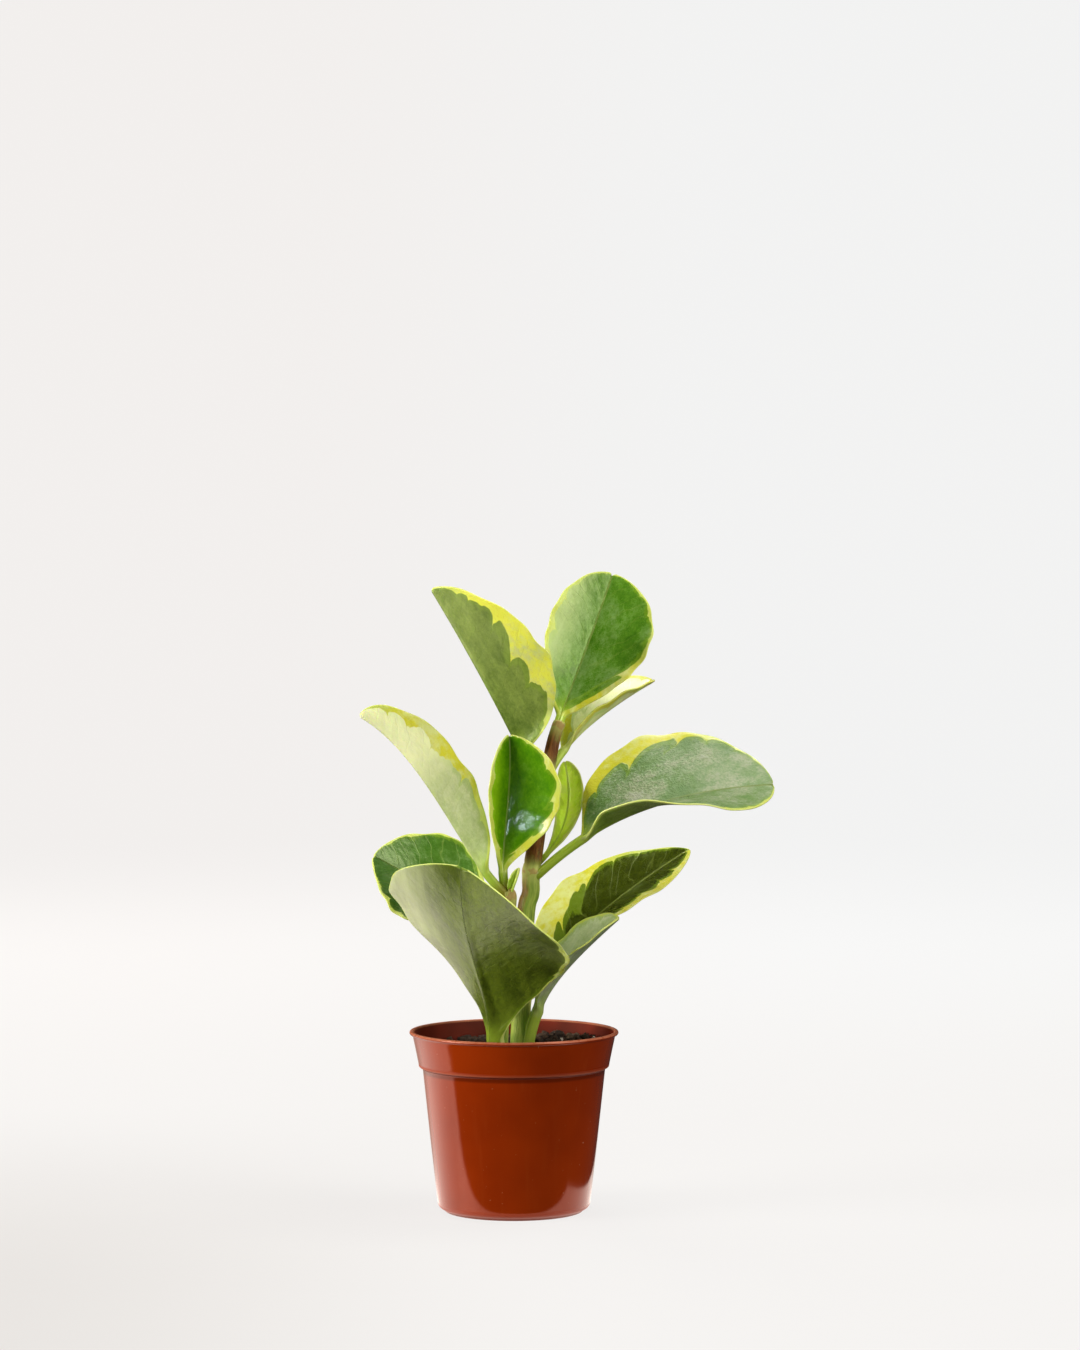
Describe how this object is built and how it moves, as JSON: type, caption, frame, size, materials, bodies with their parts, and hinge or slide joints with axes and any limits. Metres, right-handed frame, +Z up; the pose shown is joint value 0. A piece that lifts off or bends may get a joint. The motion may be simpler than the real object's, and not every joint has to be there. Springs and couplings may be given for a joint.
{
  "type": "potted houseplant",
  "caption": "Variegated peperomia with thick oval leaves on upright leafy shoots, rooted in potting soil in a round tapered plastic nursery pot with a stepped collar.",
  "frame": {"origin": "centre of the pot's underside, on the surface that the pot stands on", "axes": "+Z up along the pot's axis; the viewer of the picture stands toward -Y, with +X to the right"},
  "size_m": [0.1773, 0.1184, 0.2747],
  "materials": {
    "pot": "smooth moulded, slightly glossy",
    "soil": "rough and crumbly",
    "foliage": "fleshy, satin to glossy, with pale yellow margins"
  },
  "bodies": {
    "root": {"pot": "pot", "soil": "soil", "main_shoot": "foliage", "side_shoot": "foliage"}
  },
  "joints": []
}
